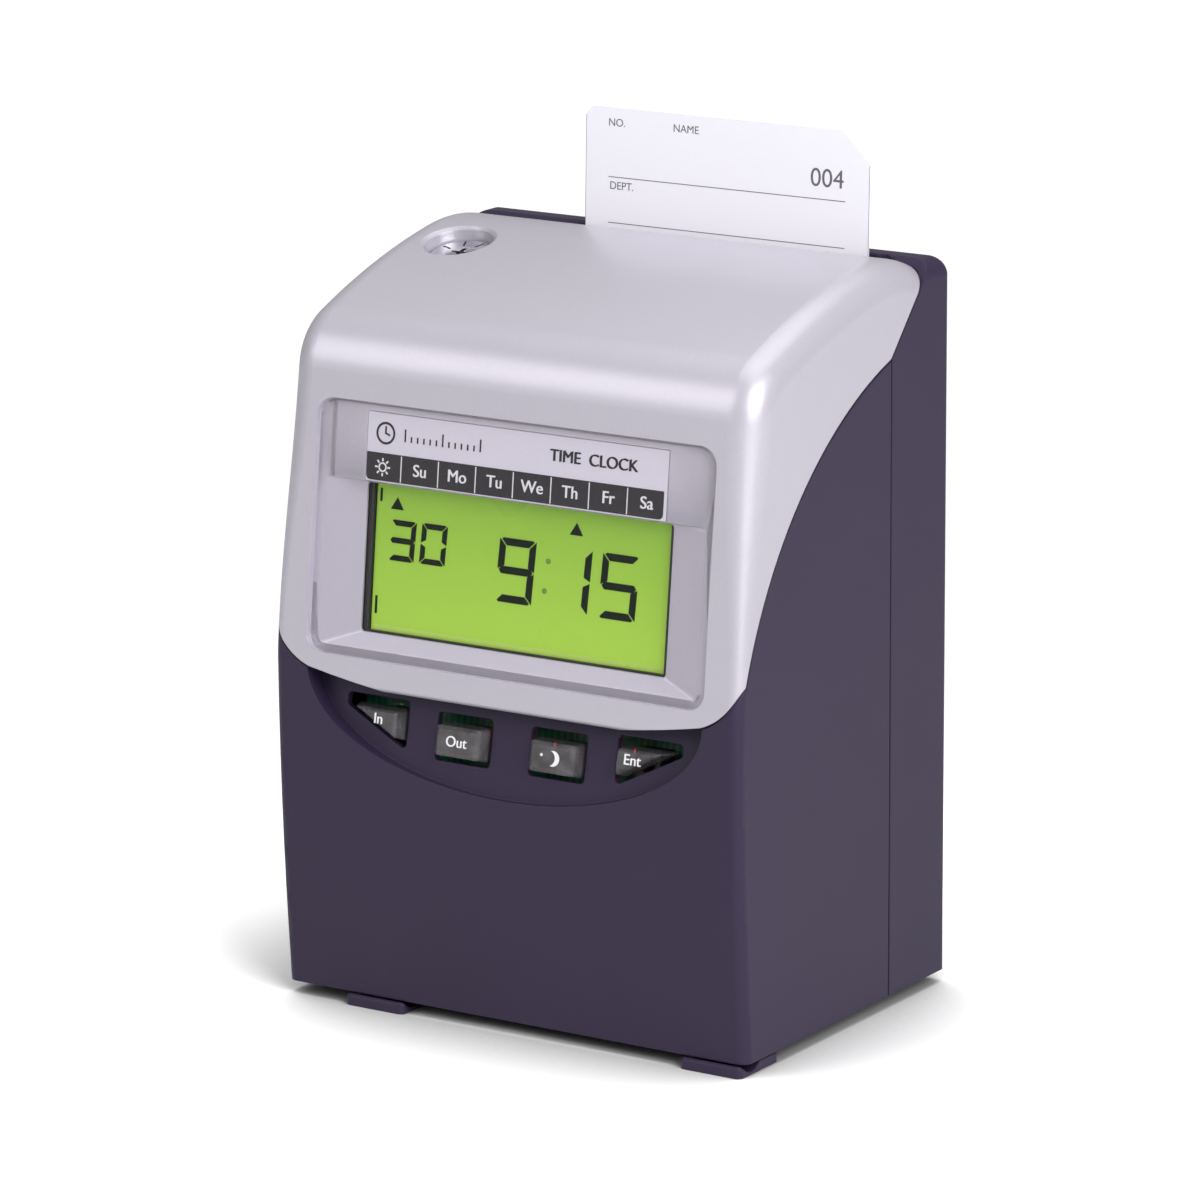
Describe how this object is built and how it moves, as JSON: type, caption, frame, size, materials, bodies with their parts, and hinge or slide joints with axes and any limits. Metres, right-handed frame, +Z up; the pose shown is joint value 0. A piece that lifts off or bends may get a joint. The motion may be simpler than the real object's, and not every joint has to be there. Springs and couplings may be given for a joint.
{
  "type": "punch time clock",
  "caption": "Desk punch time clock with silver and charcoal covers, tilted display, four keys, a key lock and a time card standing in its top slot.",
  "frame": {"origin": "on the floor under the centre of the outer box", "axes": "+X to the right seen from the front, the front faces -Y, +Z up"},
  "size_m": [0.14, 0.1039, 0.2237],
  "materials": {
    "silver_plastic": "fine metallic silver paint on moulded plastic, satin",
    "charcoal_plastic": "fine grained charcoal moulded plastic",
    "clear_plastic": "clear polycarbonate, polished",
    "key_plastic": "smoke clear moulded keys, bevelled",
    "black_plastic": "black moulded plastic, lightly grained",
    "label_print": "printed silver panel film",
    "lcd_glass": "display glass with a polarising film",
    "backlight": "yellow-green light guide",
    "board_green": "green circuit board with solder mask",
    "chip_black": "moulded electronic parts",
    "led_red": "red tinted lamps",
    "zinc_sheet": "zinc plated sheet, brushed",
    "steel": "ground steel rod",
    "chrome": "polished chrome plating",
    "brass": "turned brass",
    "rubber": "moulded rubber, dull",
    "belt_rubber": "toothed belt rubber",
    "white_plastic": "natural white acetal",
    "ribbon_ink": "inked woven band",
    "card_paper": "stiff printed time card",
    "battery_wrap": "shrink wrapped cells"
  },
  "bodies": {
    "case": {"rear_case": "charcoal_plastic", "chassis": "black_plastic", "hinge_pins": "steel", "front_feet": "charcoal_plastic", "rear_feet": "rubber", "front_bracket": "zinc_sheet", "lcd_bezel": "black_plastic", "lcd_glass": "lcd_glass", "lcd_backlight": "backlight", "display_board": "board_green", "board_posts": "brass", "keypad_board": "board_green", "key_switches": "black_plastic", "key_leds": "led_red", "lock_catch": "zinc_sheet", "case_screws": "steel", "card_guide_rear": "zinc_sheet", "card_guide_front": "zinc_sheet", "card_stop": "white_plastic", "platen": "rubber", "printer_frames": "zinc_sheet", "guide_rods": "steel", "rear_brace": "zinc_sheet", "drive_plate": "zinc_sheet", "carriage_motor": "steel", "carriage_belt": "belt_rubber", "ribbon_cartridge": "black_plastic", "ribbon_band": "ribbon_ink", "feed_motor": "steel", "main_board": "board_green", "board_pillars": "brass", "board_parts": "chip_black", "battery_pack": "battery_wrap", "dc_jack": "black_plastic", "buzzer": "black_plastic"},
    "cover": {"top_cover": "silver_plastic", "front_cover": "charcoal_plastic", "display_window": "clear_plastic", "window_label": "label_print", "lock_barrel": "chrome", "lock_nut": "brass"},
    "lock": {"lock_plug": "chrome", "lock_cam": "zinc_sheet"},
    "key_in": {"key_in": "key_plastic"},
    "key_out": {"key_out": "key_plastic"},
    "key_night": {"key_night": "key_plastic"},
    "key_enter": {"key_enter": "key_plastic"},
    "card": {"time_card": "card_paper"},
    "carriage": {"carriage": "white_plastic", "print_head": "black_plastic"},
    "drive_pulley": {"drive_pulley": "white_plastic"},
    "idler_pulley": {"idler_pulley": "white_plastic"},
    "ribbon_knob": {"ribbon_knob": "white_plastic"},
    "feed": {"feed_shaft": "steel", "feed_rollers": "rubber", "feed_gear": "white_plastic"},
    "feed_pinion": {"feed_pinion": "brass"},
    "pinch": {"pinch_rollers": "rubber"}
  },
  "joints": [
    {"name": "cover_hinge", "type": "hinge", "parent": "case", "child": "cover", "pos_m": [0, -0.0436, 0.0062], "axis": [1, 0, 0], "range_deg": [0, 62]},
    {"name": "lock_turn", "type": "hinge", "parent": "cover", "child": "lock", "pos_m": [-0.05, 0.0054, 0.19205], "axis": [0, -0.2164, 0.9763], "range_deg": [0, 90]},
    {"name": "card_feed", "type": "slide", "parent": "case", "child": "card", "axis": [0, 0.0332, 0.9995], "range_m": [-0.024, 0.06]},
    {"name": "carriage_travel", "type": "slide", "parent": "case", "child": "carriage", "axis": [1, 0, 0], "range_m": [-0.028, 0.028]},
    {"name": "drive_pulley_spin", "type": "hinge", "parent": "case", "child": "drive_pulley", "pos_m": [-0.029, 0.00463, 0.13792], "axis": [0, 0.0332, 0.9995], "range_deg": [-277, 277]},
    {"name": "idler_pulley_spin", "type": "hinge", "parent": "case", "child": "idler_pulley", "pos_m": [0.051, 0.00463, 0.13792], "axis": [0, 0.0332, 0.9995], "range_deg": [-277, 277]},
    {"name": "ribbon_knob_turn", "type": "hinge", "parent": "case", "child": "ribbon_knob", "pos_m": [0.042, 0.00889, 0.1758], "axis": [0, 0.0332, 0.9995], "continuous": true},
    {"name": "feed_spin", "type": "hinge", "parent": "case", "child": "feed", "pos_m": [0.008, 0.02977, 0.09607], "axis": [1, 0, 0], "range_deg": [-218, 545]},
    {"name": "feed_pinion_spin", "type": "hinge", "parent": "case", "child": "feed_pinion", "pos_m": [-0.04, 0.01418, 0.09658], "axis": [1, 0, 0], "range_deg": [-1822, 730]},
    {"name": "pinch_spin", "type": "hinge", "parent": "case", "child": "pinch", "pos_m": [0.008, 0.04073, 0.0957], "axis": [1, 0, 0], "range_deg": [-801, 321]},
    {"name": "key_in_press", "type": "slide", "parent": "case", "child": "key_in", "axis": [0, 0.982, -0.1891], "range_m": [0, 0.0008], "stiffness_N_per_m": 600, "springref_m": -0.0008},
    {"name": "key_out_press", "type": "slide", "parent": "case", "child": "key_out", "axis": [0, 0.982, -0.1891], "range_m": [0, 0.0008], "stiffness_N_per_m": 600, "springref_m": -0.0008},
    {"name": "key_night_press", "type": "slide", "parent": "case", "child": "key_night", "axis": [0, 0.982, -0.1891], "range_m": [0, 0.0008], "stiffness_N_per_m": 600, "springref_m": -0.0008},
    {"name": "key_enter_press", "type": "slide", "parent": "case", "child": "key_enter", "axis": [0, 0.982, -0.1891], "range_m": [0, 0.0008], "stiffness_N_per_m": 600, "springref_m": -0.0008}
  ],
  "couplings": [
    {"joint": "card_feed", "follows": "feed_spin", "m_per_rad": 0.0063},
    {"joint": "feed_pinion_spin", "follows": "feed_spin", "ratio": -3.3333},
    {"joint": "pinch_spin", "follows": "feed_spin", "ratio": -1.4651},
    {"joint": "drive_pulley_spin", "follows": "carriage_travel", "rad_per_m": -172.41},
    {"joint": "idler_pulley_spin", "follows": "carriage_travel", "rad_per_m": -172.41}
  ]
}
